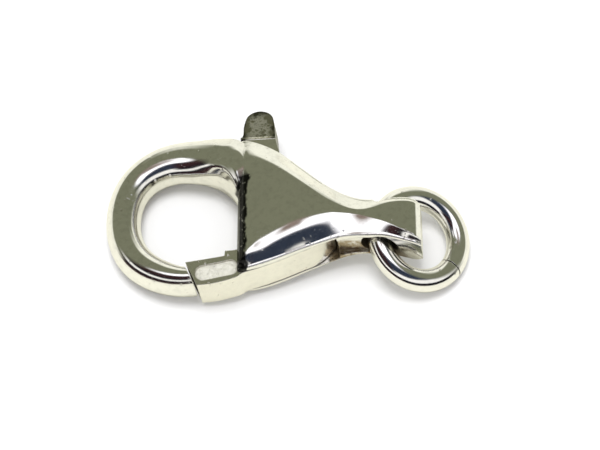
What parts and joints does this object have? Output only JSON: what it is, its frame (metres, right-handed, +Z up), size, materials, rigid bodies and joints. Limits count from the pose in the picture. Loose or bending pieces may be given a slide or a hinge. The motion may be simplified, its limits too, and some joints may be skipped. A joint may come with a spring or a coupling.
{
  "type": "lobster clasp",
  "caption": "Cast silver lobster clasp: a hook closed by a sprung lever gate with a thumb tab, and a round jump ring through its bail.",
  "frame": {"origin": "on the table under the middle of the clasp as it lies by itself, hook down and bail raised", "axes": "+X from the hook to the bail and ring, +Y to the thumb tab, +Z up off the table"},
  "size_m": [0.0172, 0.0092, 0.0037],
  "materials": {
    "body_silver": "polished cast silver, with fine wear and darker recesses",
    "lever_silver": "polished silver, rougher on the thumb tab",
    "pin_silver": "filed flush silver",
    "ring_silver": "bright drawn silver wire"
  },
  "bodies": {
    "clasp": {"body": "body_silver", "rivet_pin": "pin_silver"},
    "gate_lever": {"lever": "lever_silver"},
    "ring": {"jump_ring": "ring_silver"}
  },
  "joints": [
    {"name": "lever_turn", "type": "hinge", "parent": "clasp", "child": "gate_lever", "pos_m": [0.00024, -0.00267, 0.00185], "axis": [0.1115, 0, -0.9938], "range_deg": [0, 24], "stiffness_Nm_per_rad": 0.002, "springref_deg": -8.59},
    {"name": "ring_swing", "type": "hinge", "parent": "clasp", "child": "ring", "pos_m": [0.00426, -0.00172, 0.00212], "axis": [-0.0518, -0.9903, -0.1292], "range_deg": [-15, 45]}
  ]
}
